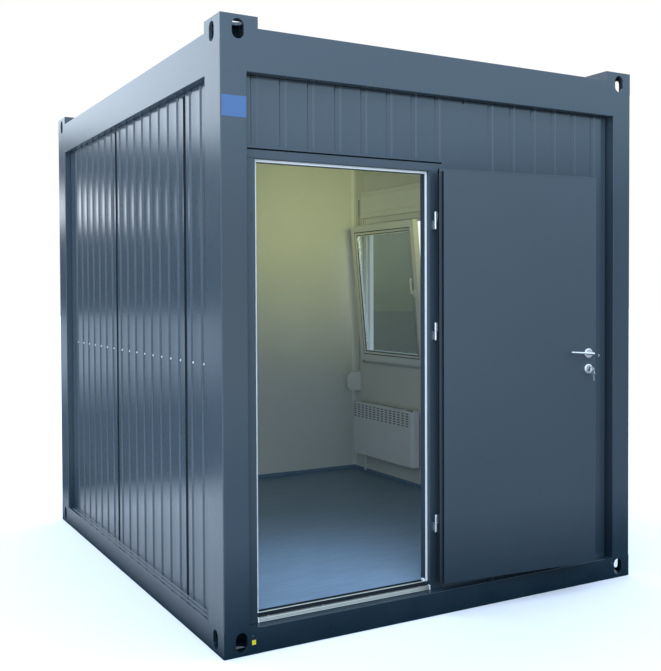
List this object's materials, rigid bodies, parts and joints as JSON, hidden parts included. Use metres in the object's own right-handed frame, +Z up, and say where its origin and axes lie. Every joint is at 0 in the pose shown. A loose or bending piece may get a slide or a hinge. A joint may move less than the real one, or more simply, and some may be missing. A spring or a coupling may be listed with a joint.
{
  "type": "portable site cabin",
  "caption": "Portable steel-framed site cabin with corner posts and lifting fittings, ribbed wall panels, an outward opening door, a tilted window, a lined room and a wall heater.",
  "frame": {"origin": "middle of the four slots in the undersides of the bottom corner fittings, at ground level", "axes": "+Z up, -Y out of the door side, +X to the right seen from the door side"},
  "size_m": [2.435, 3.1483, 2.8],
  "materials": {
    "frame_paint": "satin anthracite coat",
    "panel_paint": "satin anthracite coat on ribbed sheet",
    "door_paint": "satin anthracite coat",
    "galvanised": "dull zinc",
    "deck_board": "plain board",
    "vinyl": "grey-blue wood-grain vinyl",
    "lining_white": "off-white coated board",
    "black_seal": "matt black",
    "white_seal": "matt white",
    "threshold_metal": "mill finish",
    "bright_metal": "satin",
    "white_plastic": "smooth white",
    "glass": "clear double glazing",
    "heater_paint": "smooth white coat"
  },
  "bodies": {
    "cabin": {"corner_posts": "frame_paint", "floor_rails": "frame_paint", "roof_rails": "frame_paint", "top_corner_fittings": "frame_paint", "bottom_corner_fittings": "frame_paint", "underfloor_sheet": "galvanised", "floor_joists": "galvanised", "roof_sheet": "galvanised", "roof_joists": "galvanised", "floor_deck": "deck_board", "floor_covering": "vinyl", "ceiling": "lining_white", "left_lining": "lining_white", "rear_lining": "lining_white", "right_lining": "lining_white", "front_lining": "lining_white", "left_wall_front": "panel_paint", "left_wall_middle": "panel_paint", "left_wall_rear": "panel_paint", "rear_wall_left": "panel_paint", "rear_wall_right": "panel_paint", "right_wall_front": "panel_paint", "right_wall_middle": "panel_paint", "right_wall_strips": "panel_paint", "right_wall_window_panels": "panel_paint", "front_wall_over_door": "panel_paint", "front_wall_hinge_side": "panel_paint", "front_wall_beside_door": "panel_paint", "wall_seals": "black_seal", "door_frame_left": "door_paint", "door_frame_right": "door_paint", "door_frame_head": "door_paint", "door_threshold": "threshold_metal", "door_seal": "white_seal", "door_hinges_fixed": "bright_metal", "window_frame": "white_plastic", "window_sash": "white_plastic", "window_handle": "white_plastic", "shutter_box": "white_plastic", "shutter_rails": "white_plastic", "strap_winder": "white_plastic", "window_glass": "glass", "heater": "heater_paint"},
    "door": {"door_leaf": "door_paint", "door_hinges_moving": "bright_metal", "door_lock_plates": "bright_metal"},
    "lever": {"door_lever": "bright_metal"}
  },
  "joints": [
    {"name": "door_swing", "type": "hinge", "parent": "cabin", "child": "door", "pos_m": [-0.0845, -1.4745, 0], "axis": [0, 0, -1], "range_deg": [0, 174.5]},
    {"name": "lever_turn", "type": "hinge", "parent": "door", "child": "lever", "pos_m": [0.80538, -1.56019, 1.27], "axis": [-0.0958, -0.9954, 0], "range_deg": [0, 40], "stiffness_Nm_per_rad": 0.8, "springref_deg": -28.65}
  ]
}
